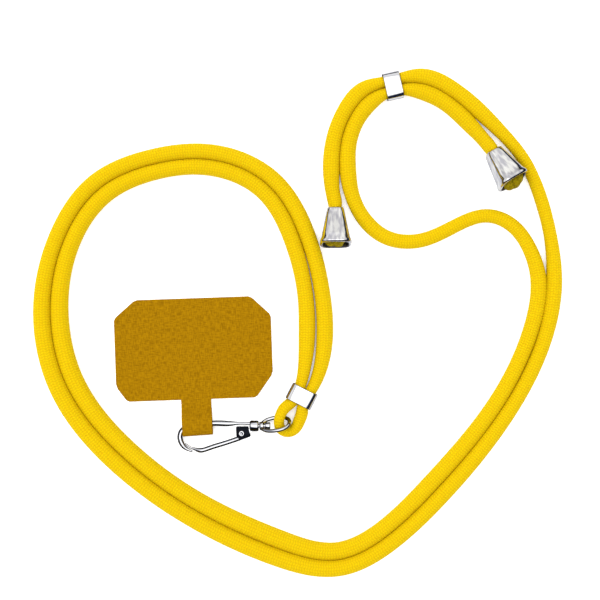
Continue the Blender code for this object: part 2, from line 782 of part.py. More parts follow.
def make_ring(seat, middle):
    """The oval wire ring on the stud: it stands on its lower edge, and the cord goes through it."""
    rows = []
    for i in range(RING_POINTS):
        turn = 2 * math.pi * i / RING_POINTS
        along = math.cos(turn)
        across = math.sin(turn)
        along = math.copysign(abs(along) ** (2 / RING_SQUARENESS), along)
        across = math.copysign(abs(across) ** (2 / RING_SQUARENESS), across)
        rows.append(((1 - along) * RING_LENGTH / 2, across * RING_WIDTH / 2, 0.0))
    turn = Matrix.Rotation(RING_TURN, 4, "Z") @ Matrix.Rotation(-RING_PITCH, 4, "Y")
    place = Matrix.Translation(middle) @ turn @ Matrix.Rotation(RING_ROLL, 4, "X")
    mesh = wire_mesh("swivel_ring", rows, [RING_WIRE_RADIUS] * RING_POINTS, True)
    ring = add_object("swivel_ring", mesh, place, seat)
    half = RING_BOSS_LENGTH / 2
    boss_profile = ((-half, RING_BOSS_RADIUS), (half, RING_BOSS_RADIUS))
    boss = add_object("ring_boss", turned("ring_boss", boss_profile), place, seat)
    bore = STUD_RADIUS + RING_BORE_CLEARANCE
    bore_profile = ((-2 * half, bore), (2 * half, bore))
    hole = add_object("ring_hole", turned("ring_hole", bore_profile), place, seat)
    combine(ring, boss, "UNION")
    combine(ring, hole, "DIFFERENCE")
    smooth_faces(ring, 40)
    give_chrome(ring)


clear_scene()
make_cord()
make_sleeve("top_sleeve", TOP_PAIR, TOP_SLEEVE_ROW)
make_sleeve("lower_sleeve", MAIN_PAIR, LOWER_SLEEVE_ROW)
make_bell(LEFT_BELL)
make_bell(RIGHT_BELL)
make_patch()
hook_seat = add_object("hook_seat", None, hook_matrix())
ring_middle = make_hook_frame(hook_seat)
make_gate(hook_seat)
make_rivet(hook_seat)
make_ring(hook_seat, ring_middle)
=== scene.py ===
"""Looks of a phone crossbody strap that lies flat: braided cord, chromed fittings and a woven cloth card."""

import math
from collections import namedtuple

import bmesh
import bpy
import numpy as np
from mathutils import Matrix, Vector


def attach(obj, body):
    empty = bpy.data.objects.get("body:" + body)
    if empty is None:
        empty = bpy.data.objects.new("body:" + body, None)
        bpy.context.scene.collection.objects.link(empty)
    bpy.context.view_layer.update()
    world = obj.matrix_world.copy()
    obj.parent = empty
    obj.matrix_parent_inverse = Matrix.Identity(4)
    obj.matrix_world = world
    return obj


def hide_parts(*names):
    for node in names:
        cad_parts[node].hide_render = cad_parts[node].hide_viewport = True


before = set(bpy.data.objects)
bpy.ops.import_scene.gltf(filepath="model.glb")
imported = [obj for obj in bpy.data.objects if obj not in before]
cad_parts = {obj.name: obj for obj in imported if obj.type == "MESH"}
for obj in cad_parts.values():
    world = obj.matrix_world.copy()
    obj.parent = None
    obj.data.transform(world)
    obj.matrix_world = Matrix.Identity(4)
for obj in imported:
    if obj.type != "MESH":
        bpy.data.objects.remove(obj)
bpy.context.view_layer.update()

# Camera
# It hangs straight over the strap with its foot towards the picture's lower edge. The frame is 252 mm wide
# at the height of the cord's middle.
picture_width = 0.252
picture_middle = (0.04494, 0.02058)
camera_height = 0.65
cord_level = 0.003
camera_lens = bpy.data.cameras.new("camera")
camera_lens.sensor_width = 36.0
camera_lens.lens = camera_lens.sensor_width * (camera_height - cord_level) / picture_width
camera_lens.clip_start = 0.01
camera = bpy.data.objects.new("camera", camera_lens)
bpy.context.scene.collection.objects.link(camera)
camera.location = (*picture_middle, camera_height)
bpy.context.scene.camera = camera
bpy.context.scene.view_settings.view_transform = "Standard"

# Cord
# One length of round polyester braid, both ends knotted. It starts at the left bell, doubles back through
# the swivel ring, and ends at the right bell. A sleeve grips its two runs in two places.
cord_diameter = 0.0068
cord_clearance = 0.0003
cord_press = 0.0003
sleeve_girth = 0.699
sleeve_lift = 0.0035
sleeve_tallness = 1.17
round_girth = 0.92
cord_sides = 24
cord_step = 0.0013
End = namedtuple("End", "x y z heading pitch roll knot_at")
left_end = End(0.059724, 0.058968, 0.003529, -89.4, 11.388, 0.0, 0.0124)
right_end = End(0.125832, 0.082824, 0.004075, -57.6, 12.417, -14.0, 0.0144)
Seam = namedtuple("Seam", "x y girth parting")
Spot = namedtuple("Spot", "x y height girth")
top_pair = (
    Seam(0.06157, 0.07434, 0.950, 0.0002),
    Seam(0.06233, 0.08736, 0.900, 0.0000),
    Seam(0.06720, 0.09954, 0.890, 0.0000),
    Seam(0.07392, 0.10685, 0.860, 0.0000),
    Seam(0.08047, 0.10966, sleeve_girth, 0.0000),
    Seam(0.08744, 0.11126, sleeve_girth, 0.0000),
    Seam(0.09450, 0.11151, 0.860, 0.0000),
    Seam(0.10777, 0.10597, 0.910, 0.0000),
    Seam(0.11802, 0.09723, 0.920, 0.0003),
)
main_pair = (
    Seam(0.14826, 0.02982, 0.910, 0.0002),
    Seam(0.14507, 0.00756, 0.900, 0.0000),
    Seam(0.12873, -0.02604, 0.900, 0.0000),
    Seam(0.10164, -0.05922, 0.960, 0.0000),
    Seam(0.08316, -0.07694, 0.940, 0.0000),
    Seam(0.06090, -0.08820, 0.990, 0.0000),
    Seam(0.03549, -0.08341, 1.060, 0.0000),
    Seam(0.00084, -0.06728, 1.040, 0.0000),
    Seam(-0.02999, -0.04465, 1.050, 0.0000),
    Seam(-0.05309, -0.01457, 1.060, 0.0000),
    Seam(-0.05964, 0.01638, 1.030, 0.0000),
    Seam(-0.05330, 0.04729, 0.940, 0.0000),
    Seam(-0.03885, 0.06737, 0.950, 0.0000),
    Seam(-0.01638, 0.07749, 0.900, 0.0000),
    Seam(0.00857, 0.07917, 0.910, 0.0000),
    Seam(0.03171, 0.06854, 0.920, 0.0000),
    Seam(0.04481, 0.04679, 0.920, 0.0002),
    Seam(0.05082, 0.02213, 0.910, 0.0006),
    Seam(0.05149, 0.00336, 0.930, 0.0008),
    Seam(0.04729, -0.01651, sleeve_girth, 0.0000),
    Seam(0.04393, -0.02310, sleeve_girth, 0.0000),
)
from_left_bell = (Spot(0.05880, 0.06531, 0.0033, 0.90),)
right_side = (
    Spot(0.12860, 0.09185, 0.0030, 0.86),
    Spot(0.13927, 0.07900, 0.0027, 0.78),
    Spot(0.14297, 0.07174, 0.0027, 0.79),
    Spot(0.14591, 0.06384, 0.0028, 0.82),
    Spot(0.15019, 0.04704, 0.0029, 0.82),
)
ring_turns = (
    Spot(0.04578, -0.02646, 0.0033, 0.76),
    Spot(0.04460, -0.03024, 0.0030, 0.75),
    Spot(0.04276, -0.03352, 0.0028, 0.70),
    Spot(0.03973, -0.03494, 0.0029, 0.64),
    Spot(0.03696, -0.03360, 0.0038, 0.64),
    Spot(0.03612, -0.03091, 0.0050, 0.64),
    Spot(0.03662, -0.02789, 0.0055, 0.66),
    Spot(0.03864, -0.02453, 0.0046, 0.72),
)
middle_wave = (
    Spot(0.14129, 0.04221, 0.0031, 0.90),
    Spot(0.13373, 0.05216, 0.0030, 0.88),
    Spot(0.12390, 0.05594, 0.0029, 0.85),
    Spot(0.11004, 0.05166, 0.0029, 0.84),
    Spot(0.09450, 0.04540, 0.0030, 0.88),
    Spot(0.08064, 0.04712, 0.0031, 0.91),
    Spot(0.07283, 0.05342, 0.0032, 0.93),
    Spot(0.06728, 0.06321, 0.0032, 0.92),
)
to_right_bell = (Spot(0.12230, 0.08753, 0.0034, 0.87),)


def end_matrix(end):
    """The frame of a bell and of the knot inside it: X runs from the bell's neck to its mouth."""
    turn = Matrix.Rotation(math.radians(end.heading), 4, "Z")
    tilt = Matrix.Rotation(math.radians(-end.pitch), 4, "Y")
    roll = Matrix.Rotation(math.radians(end.roll), 4, "X")
    return Matrix.Translation((end.x, end.y, end.z)) @ turn @ tilt @ roll


def end_rows(end):
    """Through the neck of a bell and into the middle of the knot."""
    matrix = end_matrix(end)
    rows = []
    for at, girth in ((-0.0016, 0.86), (0.0002, 0.79), (0.004, 0.72), (end.knot_at, 0.70)):
        rows.append((*(matrix @ Vector((at, 0, 0))), girth * cord_diameter / 2, 1.0))
    return rows


def curve_slopes(rows):
    """The slopes of the natural cubic curve through the rows, and its distances from row to row."""
    steps = np.linalg.norm(np.diff(rows[:, :2], axis=0), axis=1)
    count = len(rows)
    matrix = np.zeros((count, count))
    target = np.zeros(rows.shape)
    matrix[0, :2] = (2.0, 1.0)
    target[0] = 3 * (rows[1] - rows[0]) / steps[0]
    matrix[-1, -2:] = (1.0, 2.0)
    target[-1] = 3 * (rows[-1] - rows[-2]) / steps[-1]
    for i in range(1, count - 1):
        before, after = steps[i - 1], steps[i]
        matrix[i, i - 1 : i + 2] = (after, 2 * (before + after), before)
        rise_before = (rows[i] - rows[i - 1]) / before
        rise_after = (rows[i + 1] - rows[i]) / after
        target[i] = 3 * (after * rise_before + before * rise_after)
    return np.linalg.solve(matrix, target), steps


def read_curve(rows, longest):
    """Rows read from the smooth curve through the given ones, no further apart than the longest step."""
    slopes, steps = curve_slopes(rows)
    read = []
    for i, step in enumerate(steps):
        count = max(1, math.ceil(step / longest))
        for t in np.arange(count) / count:
            first = (1 + 2 * t) * (1 - t) ** 2 * rows[i]
            second = t * t * (3 - 2 * t) * rows[i + 1]
            leaving = t * (1 - t) ** 2 * step * slopes[i]
            arriving = t * t * (t - 1) * step * slopes[i + 1]
            read.append(first + second + leaving + arriving)
    read.append(rows[-1])
    return np.array(read)


def lane_rows(seams, side):
    """One run of a doubled stretch, on the left (1) or right (-1) of the way along its seam."""
    middle = np.array([seam[:2] for seam in seams])
    slopes, _ = curve_slopes(middle)
    rows = []
    for seam, place, slope in zip(seams, middle, slopes):
        across = np.array((-slope[1], slope[0])) / np.linalg.norm(slope)
        thickness = cord_diameter * seam.girth
        gap = 0.0 if seam.girth == sleeve_girth else cord_clearance + seam.parting
        x, y = place + side * across * (thickness + gap) / 2
        if seam.girth == sleeve_girth:
            rows.append((x, y, sleeve_lift, thickness / 2, sleeve_tallness))
            continue
        tallness = min(1.0, math.sqrt(round_girth / seam.girth))
        radius = thickness / 2 + cord_press
        rows.append((x, y, tallness * radius, radius, tallness))
    return rows


def single_rows(spots):
    return [(s.x, s.y, s.height, s.girth * cord_diameter / 2, 1.0) for s in spots]


def braided_tube(name, rows, sides, closed=False):
    """A tube of braid through the rows, with a map that runs round it and along it in metres."""
    rows = np.asarray(rows)
    centres = rows[:, :3]
    if closed:
        ways = np.roll(centres, -1, axis=0) - np.roll(centres, 1, axis=0)
        gaps = np.linalg.norm(np.roll(centres, -1, axis=0) - centres, axis=1)
    else:
        ways = np.gradient(centres, axis=0)
        gaps = np.linalg.norm(np.diff(centres, axis=0), axis=1)
    distances = np.concatenate([[0.0], np.cumsum(gaps)])
    shape = bmesh.new()
    rings = []
    for centre, way, row in zip(centres, ways, rows):
        way = Vector(way).normalized()
        side = way.cross(Vector((0, 0, 1))).normalized()
        up = side.cross(way)
        ring = []
        for i in range(sides):
            turn = 2 * math.pi * i / sides
            out = side * math.cos(turn) * row[3] + up * math.sin(turn) * row[3] * row[4]
            ring.append(shape.verts.new(Vector(centre) + out))
        rings.append(ring)
    if closed:
        rings.append(rings[0])
    braid_map = shape.loops.layers.uv.new("braid_map")
    for k in range(len(rings) - 1):
        for i in range(sides):
            j = (i + 1) % sides
            face = shape.faces.new((rings[k][i], rings[k][j], rings[k + 1][j], rings[k + 1][i]))
            places = ((i, k), (i + 1, k), (i + 1, k + 1), (i, k + 1))
            for loop, (across, along) in zip(face.loops, places):
                loop[braid_map].uv = (across / sides, distances[along])
    if not closed:
        shape.faces.new(rings[0])
        shape.faces.new(rings[-1])
    bmesh.ops.recalc_face_normals(shape, faces=shape.faces)
    mesh = bpy.data.meshes.new(name)
    shape.to_mesh(mesh)
    shape.free()
    tube = bpy.data.objects.new(name, mesh)
    bpy.context.scene.collection.objects.link(tube)
    mesh.shade_smooth()
    return tube


def wire_up(tree, links):
    for source, target in links:
        tree.links.new(source, target)


def add_math(tree, operation, *values):
    """A Math node with its inputs set or linked. Returns its output."""
    node = tree.nodes.new("ShaderNodeMath")
    node.operation = operation
    for socket, value in zip(node.inputs, values):
        if isinstance(value, (int, float)):
            socket.default_value = value
        else:
            tree.links.new(value, socket)
    return node.outputs[0]


def add_mix(tree, factor, first, second):
    """A colour Mix node between two colours, each given or linked. Returns its output."""
    node = tree.nodes.new("ShaderNodeMix")
    node.data_type = "RGBA"
    tree.links.new(factor, node.inputs["Factor"])
    for name, colour in (("A", first), ("B", second)):
        if isinstance(colour, tuple):
            node.inputs[name].default_value = (*colour, 1.0)
        else:
            tree.links.new(colour, node.inputs[name])
    return node.outputs["Result"]


def new_material(name, colour, roughness, metallic):
    material = bpy.data.materials.new(name)
    material.use_nodes = True
    surface = material.node_tree.nodes["Principled BSDF"]
    surface.inputs["Base Color"].default_value = (*colour, 1.0)
    surface.inputs["Roughness"].default_value = roughness
    surface.inputs["Metallic"].default_value = metallic
    return material, material.node_tree, surface


def braid_group(columns, pitch, slant):
    """Stitches of a round braid: columns of slanted stitches that lean left and right by turns."""
    group = bpy.data.node_groups.new("braid", "ShaderNodeTree")
    group.interface.new_socket("Map", in_out="INPUT", socket_type="NodeSocketVector")
    group.interface.new_socket("Stitch", in_out="OUTPUT", socket_type="NodeSocketFloat")
    start = group.nodes.new("NodeGroupInput")
    end = group.nodes.new("NodeGroupOutput")
    split = group.nodes.new("ShaderNodeSeparateXYZ")
    group.links.new(start.outputs["Map"], split.inputs[0])
    column = add_math(group, "MULTIPLY", split.outputs["X"], columns)
    across = add_math(group, "FRACT", column)
    number = add_math(group, "FLOOR", column)
    parity = add_math(group, "MODULO", number, 2.0)
    lean = add_math(group, "SUBTRACT", add_math(group, "MULTIPLY", parity, 2 * slant), slant)
    along = add_math(group, "DIVIDE", split.outputs["Y"], pitch)
    phase = add_math(group, "MULTIPLY_ADD", lean, across, along)
    half = add_math(group, "MULTIPLY_ADD", parity, 0.5, phase)
    stitch = add_math(group, "FRACT", half)
    round_along = add_math(group, "SINE", add_math(group, "MULTIPLY", stitch, math.pi))
    round_across = add_math(group, "SINE", add_math(group, "MULTIPLY", across, math.pi))
    height = add_math(group, "MULTIPLY", round_along, add_math(group, "POWER", round_across, 0.5))
    group.links.new(height, end.inputs["Stitch"])
    return group


braid = braid_group(columns=18, pitch=0.0011, slant=0.38)


def cord_material(name, bright, shaded):
    """Yellow braid: brightest on top of each stitch, with painted shade darkening the yarn between the
    stitches.
    """
    material, tree, surface = new_material(name, bright, 0.8, 0.0)
    place = tree.nodes.new("ShaderNodeUVMap")
    place.uv_map = "braid_map"
    stitches = tree.nodes.new("ShaderNodeGroup")
    stitches.node_tree = braid
    relief = tree.nodes.new("ShaderNodeBump")
    relief.inputs["Strength"].default_value = 0.6
    relief.inputs["Distance"].default_value = 0.00015
    # Painted shade: the gaps between the stitches take the shaded colour.
    stitch_light_share = add_math(tree, "MULTIPLY_ADD", stitches.outputs["Stitch"], 0.8, 0.34)
    colour = add_mix(tree, stitch_light_share, shaded, bright)
    wire_up(
        tree,
        (
            (place.outputs["UV"], stitches.inputs["Map"]),
            (colour, surface.inputs["Base Color"]),
            (stitches.outputs["Stitch"], relief.inputs["Height"]),
            (relief.outputs["Normal"], surface.inputs["Normal"]),
        ),
    )
    surface.inputs["Specular IOR Level"].default_value = 0.06
    surface.inputs["Subsurface Weight"].default_value = 0.35
    surface.inputs["Subsurface Radius"].default_value = (1.0, 0.7, 0.05)
    surface.inputs["Subsurface Scale"].default_value = 0.0012
    return material


yellow_braid = cord_material("yellow_braid", (0.575, 0.398, 0.0008), (0.41, 0.252, 0.0005))
# The knots' braid is a much darker copy of the cord's: painted shade inside the bells.
shaded_knot_braid = cord_material("shaded_knot_braid", (0.235, 0.178, 0.0010), (0.085, 0.058, 0.0005))

route = end_rows(left_end)[::-1] + single_rows(from_left_bell) + lane_rows(top_pair, 1)
route += single_rows(right_side) + lane_rows(main_pair, 1) + single_rows(ring_turns)
route += lane_rows(main_pair, -1)[::-1] + single_rows(middle_wave) + lane_rows(top_pair, -1)
route += single_rows(to_right_bell) + end_rows(right_end)
cord_route = read_curve(np.array(route), cord_step)
cord_route[:, 2] = np.maximum(cord_route[:, 2], cord_route[:, 3] * cord_route[:, 4])
cord = braided_tube("braided_cord", cord_route, cord_sides)
cord.data.materials.append(yellow_braid)

# Knots
# Each end of the cord is drawn into a tight overhand knot that is too wide for its bell's neck, so the bell
# hangs on it. The knots are the same braid, coloured much darker: painted shade for their place inside the
# bells.
knot_spread = 0.00092
knot_rise = 0.0013
knot_yarn = 0.0024
knot_drop = 0.0006
knot_points = 96


def knot_rows(end):
    """A closed three-lobed knot round the bell's own axis."""
    matrix = end_matrix(end)
    rows = []
    for i in range(knot_points):
        turn = 2 * math.pi * i / knot_points
        y = knot_spread * (math.sin(turn) + 2 * math.sin(2 * turn))
        z = knot_spread * (math.cos(turn) - 2 * math.cos(2 * turn)) - knot_drop
        x = end.knot_at - knot_rise * math.sin(3 * turn)
        rows.append((*(matrix @ Vector((x, y, z))), knot_yarn, 1.0))
    return rows


knots = []
for name, end in (("left_knot", left_end), ("right_knot", right_end)):
    knot = braided_tube(name, knot_rows(end), cord_sides, closed=True)
    knot.data.materials.append(shaded_knot_braid)
    knots.append(knot)

for piece in (cord, *knots):
    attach(piece, "strap")
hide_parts("cord")

# Bells
# Die-cast zinc, polished and chromed: square cones with rounded edges, a round hole in the neck for the cord
# and a thick rolled lip round the mouth.
bell_points = 72
bell_squareness = 3.7
Ring = namedtuple("Ring", "x half")
outer_wall = [Ring(0.0005 + 0.0018 * i, 0.00362 + 0.00035 * i) for i in range(8)]
inner_wall = [Ring(0.0146 - 0.00335 * i, 0.00525 - 0.00065 * i) for i in range(5)]
bell_profile = (
    Ring(0.0002, 0.00270),
    Ring(0.0000, 0.00290),
    Ring(0.0000, 0.00320),
    Ring(0.0001, 0.00342),
    *outer_wall,
    Ring(0.0140, 0.00648),
    Ring(0.0145, 0.00660),
    Ring(0.0149, 0.00662),
    Ring(0.0152, 0.00652),
    Ring(0.01543, 0.00634),
    Ring(0.01560, 0.00610),
    Ring(0.01570, 0.00580),
    Ring(0.01564, 0.00560),
    Ring(0.01545, 0.00540),
    Ring(0.01510, 0.00530),
    *inner_wall,
    Ring(0.0012, 0.00272),
)
bell_inside_from = 0.0156


def deselect():
    bpy.ops.object.select_all(action="DESELECT")


def pick(piece):
    """Selects this piece alone."""
    deselect()
    bpy.context.view_layer.objects.active = piece
    piece.select_set(True)


def enter(piece):
    pick(piece)
    bpy.ops.object.mode_set(mode="EDIT")


def leave():
    bpy.ops.object.mode_set(mode="OBJECT")


def choose(piece, kind, test):
    """Selects those vertices, edges or faces of the piece in edit mode that pass the test."""
    bpy.ops.mesh.select_mode(type={"verts": "VERT", "edges": "EDGE", "faces": "FACE"}[kind])
    bpy.ops.mesh.select_all(action="DESELECT")
    shape = bmesh.from_edit_mesh(piece.data)
    for element in getattr(shape, kind):
        element.select_set(bool(test(element)))
    bmesh.update_edit_mesh(piece.data)


def along_axis(edge, axis):
    way = (edge.verts[1].co - edge.verts[0].co).normalized()
    return abs(way[axis]) > 0.9


def named(name):
    """The active object, freshly added, with its size and place put into its mesh."""
    piece = bpy.context.object
    piece.name = name
    bpy.ops.object.transform_apply(location=True, rotation=True, scale=True)
    return piece


def add_block(name, low, high):
    deselect()
    low, high = Vector(low), Vector(high)
    bpy.ops.mesh.primitive_cube_add(size=1, location=(low + high) / 2)
    bpy.context.object.scale = high - low
    return named(name)


def add_rod(name, radius, start, end, sides=48):
    """A round rod from one point to another."""
    deselect()
    start, end = Vector(start), Vector(end)
    way = end - start
    turn = way.to_track_quat("Z", "Y").to_euler()
    bpy.ops.mesh.primitive_cylinder_add(
        vertices=sides, radius=radius, depth=way.length, location=(start + end) / 2, rotation=turn
    )
    return named(name)


def apply_modifier(piece, kind, **settings):
    modifier = piece.modifiers.new(kind, kind)
    for key, value in settings.items():
        setattr(modifier, key, value)
    pick(piece)
    bpy.ops.object.modifier_apply(modifier=modifier.name)


def unite(piece, other, operation="UNION"):
    """Fuses another solid with this one, or cuts it away, and takes the other out of the scene."""
    apply_modifier(piece, "BOOLEAN", operation=operation, object=other, solver="EXACT")
    bpy.data.objects.remove(other, do_unlink=True)


def round_edges(piece, width, segments, degrees=35.0):
    apply_modifier(
        piece,
        "BEVEL",
        width=width,
        segments=segments,
        limit_method="ANGLE",
        angle_limit=math.radians(degrees),
        use_clamp_overlap=True,
    )


def smooth(piece, degrees):
    pick(piece)
    bpy.ops.object.shade_smooth_by_angle(angle=math.radians(degrees))


def put(piece, matrix):
    """Moves a finished piece to its place and puts the place into its mesh."""
    piece.data.transform(matrix)
    piece.data.update()


def add_range(tree, value, low, high, start=0.0, end=1.0, kind="SMOOTHSTEP"):
    """A Map Range node that reads a value. Returns its output."""
    node = tree.nodes.new("ShaderNodeMapRange")
    node.interpolation_type = kind
    for name, number in (("From Min", low), ("From Max", high), ("To Min", start), ("To Max", end)):
        node.inputs[name].default_value = number
    tree.links.new(value, node.inputs["Value"])
    return node.outputs["Result"]


def streak_group(scale):
    """Faint uneven streaks in polished plate, along X of the given place."""
    group = bpy.data.node_groups.new("polish_streaks", "ShaderNodeTree")
    group.interface.new_socket("Place", in_out="INPUT", socket_type="NodeSocketVector")
    group.interface.new_socket("Streak", in_out="OUTPUT", socket_type="NodeSocketFloat")
    start = group.nodes.new("NodeGroupInput")
    end = group.nodes.new("NodeGroupOutput")
    noise = group.nodes.new("ShaderNodeTexNoise")
    noise.inputs["Scale"].default_value = scale
    noise.inputs["Detail"].default_value = 1.0
    group.links.new(start.outputs["Place"], noise.inputs["Vector"])
    group.links.new(add_range(group, noise.outputs["Fac"], 0.34, 0.66), end.inputs["Streak"])
    return group


streaks = streak_group(620.0)
streak_stretch = 36.0
# The up direction for the painted shade on wire flanks, leaning a little towards the lamp.
painted_light_lean = (0.35, 0.25, 1.0)


def chrome_material(name, heading, bright, dull, roughness=0.08, relief=0.04, painted_flank_shade=None):
    """Polished chrome plate, faintly streaked along the piece. A wire may get painted shade on its flanks,
    darker wherever its surface turns away from up.
    """
    material, tree, surface = new_material(name, bright, roughness, 1.0)
    place = tree.nodes.new("ShaderNodeTexCoord")
    mapping = tree.nodes.new("ShaderNodeMapping")
    mapping.vector_type = "TEXTURE"
    mapping.inputs["Rotation"].default_value = (0, 0, math.radians(heading))
    mapping.inputs["Scale"].default_value = (streak_stretch, 1.0, 1.0)
    polish = tree.nodes.new("ShaderNodeGroup")
    polish.node_tree = streaks
    colour = add_mix(tree, polish.outputs["Streak"], bright, dull)
    if painted_flank_shade:
        # Painted shade: the flank colour takes over wherever the surface turns away from up, and only the
        # crown keeps the bright colour.
        facing = tree.nodes.new("ShaderNodeNewGeometry")
        upward = tree.nodes.new("ShaderNodeVectorMath")
        upward.operation = "DOT_PRODUCT"
        upward.inputs[1].default_value = painted_light_lean
        tree.links.new(facing.outputs["Normal"], upward.inputs[0])
        painted_lit_crown = add_range(tree, upward.outputs["Value"], 0.88, 0.98)
        colour = add_mix(tree, painted_lit_crown, painted_flank_shade, colour)
    bump = tree.nodes.new("ShaderNodeBump")
    bump.inputs["Strength"].default_value = relief
    bump.inputs["Distance"].default_value = 0.0002
    wire_up(
        tree,
        (
            (place.outputs["Object"], mapping.inputs["Vector"]),
            (mapping.outputs["Vector"], polish.inputs["Place"]),
            (colour, surface.inputs["Base Color"]),
            (polish.outputs["Streak"], bump.inputs["Height"]),
            (bump.outputs["Normal"], surface.inputs["Normal"]),
        ),
    )
    return material


def fit_metal(piece, material, body, node):
    """Finishes a metal piece: its material, the body that it rides on and the solid that it stands for."""
    if material:
        piece.data.materials.clear()
        piece.data.materials.append(material)
    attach(piece, body)
    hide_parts(node)


# Rough, near-black metal for the bells' insides and the sleeves' rims. The bells' insides are unpolished,
# but the near-black colour is painted shade; on the sleeve rims it is a painted shadow line where the cord
# goes in.
bare_and_shaded_metal = new_material("bare_and_shaded_metal", (0.10, 0.10, 0.12), 0.45, 1.0)[0]


def make_bell(name, end):
    deselect()
    bpy.ops.mesh.primitive_circle_add(vertices=bell_points, radius=1, rotation=(0, math.radians(90), 0))
    bell = named(name)
    first = bell_profile[0]
    for vert in bell.data.vertices:
        corner = abs(vert.co.y) ** bell_squareness + abs(vert.co.z) ** bell_squareness
        reach = first.half / corner ** (1 / bell_squareness)
        vert.co = (first.x, vert.co.y * reach, vert.co.z * reach)
    enter(bell)
    bpy.ops.mesh.select_all(action="SELECT")
    for before, ring in zip(bell_profile, bell_profile[1:]):
        step = (ring.x - before.x, 0, 0)
        bpy.ops.mesh.extrude_region_move(TRANSFORM_OT_translate={"value": step})
        grow = ring.half / before.half
        bpy.ops.transform.resize(value=(1, grow, grow), center_override=(ring.x, 0, 0))
    choose(bell, "edges", lambda e: e.is_boundary)
    bpy.ops.mesh.bridge_edge_loops()
    bpy.ops.mesh.select_all(action="SELECT")
    bpy.ops.mesh.normals_make_consistent(inside=False)
    leave()
    smooth(bell, 60.0)
    chrome = chrome_material("chrome_" + name, end.heading, (0.97, 0.96, 0.92), (0.60, 0.59, 0.63))
    fit_metal(bell, chrome, "strap", name.replace("cast_", ""))
    bell.data.materials.append(bare_and_shaded_metal)
    # The faces inside the bell, short of the mouth, take the near-black metal: painted shade.
    for face in bell.data.polygons:
        inward = face.normal.y * face.center.y + face.normal.z * face.center.z < 0
        if inward and face.center.x < bell_inside_from:
            face.material_index = 1
    put(bell, end_matrix(end))


make_bell("cast_left_bell", left_end)
make_bell("cast_right_bell", right_end)

# Sleeves
# Flattened tube of thin brass, polished and chromed. Each grips two runs of the cord and slides along them.
sleeve_length = 0.0070
sleeve_width = 0.0116
sleeve_height = 0.0070
sleeve_wall = 0.0006
sleeve_corner = 0.0025
Sleeve = namedtuple("Sleeve", "name node x y heading")
sleeves = (
    Sleeve("chromed_top_sleeve", "top_sleeve", 0.083958, 0.11046, 12.894),
    Sleeve("chromed_lower_sleeve", "lower_sleeve", 0.045612, -0.019803, -117.001),
)


def make_sleeve(sleeve):
    half = Vector((sleeve_length, sleeve_width, sleeve_height)) / 2
    band = add_block(sleeve.name, -half, half)
    enter(band)
    choose(band, "edges", lambda e: along_axis(e, 0))
    bpy.ops.mesh.bevel(offset=sleeve_corner, segments=8, affect="EDGES")
    choose(band, "faces", lambda f: abs(f.normal.x) > 0.9)
    bpy.ops.mesh.delete(type="FACE")
    leave()
    apply_modifier(band, "SOLIDIFY", thickness=sleeve_wall, offset=-1.0, use_even_offset=True)
    round_edges(band, 0.00024, 3, 50.0)
    smooth(band, 35.0)
    # The rim faces at both ends take the near-black metal: a painted shadow line.
    painted_shadow_rim = [face.index for face in band.data.polygons if abs(face.normal.x) > 0.3]
    turn = Matrix.Rotation(math.radians(sleeve.heading), 4, "Z")
    put(band, Matrix.Translation((sleeve.x, sleeve.y, sleeve_lift)) @ turn)
    chrome = chrome_material(
        "chrome_" + sleeve.node, sleeve.heading, (0.90, 0.89, 0.87), (0.84, 0.84, 0.86), relief=0.02
    )
    fit_metal(band, chrome, "strap", sleeve.node)
    band.data.materials.append(bare_and_shaded_metal)
    for index in painted_shadow_rim:
        band.data.polygons[index].material_index = 1


for sleeve in sleeves:
    make_sleeve(sleeve)

# Phone patch
# One cut of coated plain-weave cloth: a card with its corners cut off, and a narrow tongue that folds up
# round the hook's bar and back under itself.
patch_width = 0.0662
patch_depth = 0.0427
patch_turn = 2.0
cloth = 0.0008
tongue_width = 0.0127
tongue_turn = 3.6
tongue_from_centre = 0.0004
bar_slope = math.tan(math.radians(2.5))
patch_rounding = 0.00035
patch_columns = 66
patch_rows = 44
Corner = namedtuple("Corner", "right top cut_width cut_depth")
patch_corners = (
    Corner(-1, -1, 0.070, 0.150),
    Corner(1, -1, 0.110, 0.230),
    Corner(1, 1, 0.127, 0.190),
    Corner(-1, 1, 0.137, 0.180),
)
# The tongue's fold lines: how far from the card, how high the cloth's middle, what share of the bar's slope
Fold = namedtuple("Fold", "along height rise")
tongue_folds = (
    Fold(0.0000, 0.00045, 0.0),
    Fold(0.0020, 0.00062, 0.0),
    Fold(0.0040, 0.00145, 0.1),
    Fold(0.0060, 0.00285, 0.5),
    Fold(0.0080, 0.00410, 0.8),
    Fold(0.0100, 0.00448, 1.0),
    Fold(0.0118, 0.00448, 1.0),
    Fold(0.0130, 0.00425, 1.0),
    Fold(0.0141, 0.00362, 1.0),
    Fold(0.0147, 0.00270, 1.0),
    Fold(0.0143, 0.00175, 1.0),
    Fold(0.0132, 0.00105, 1.0),
    Fold(0.0115, 0.00080, 1.0),
    Fold(0.0090, 0.00075, 1.0),
    Fold(0.0060, 0.00062, 0.5),
    Fold(0.0040, 0.00050, 0.1),
)


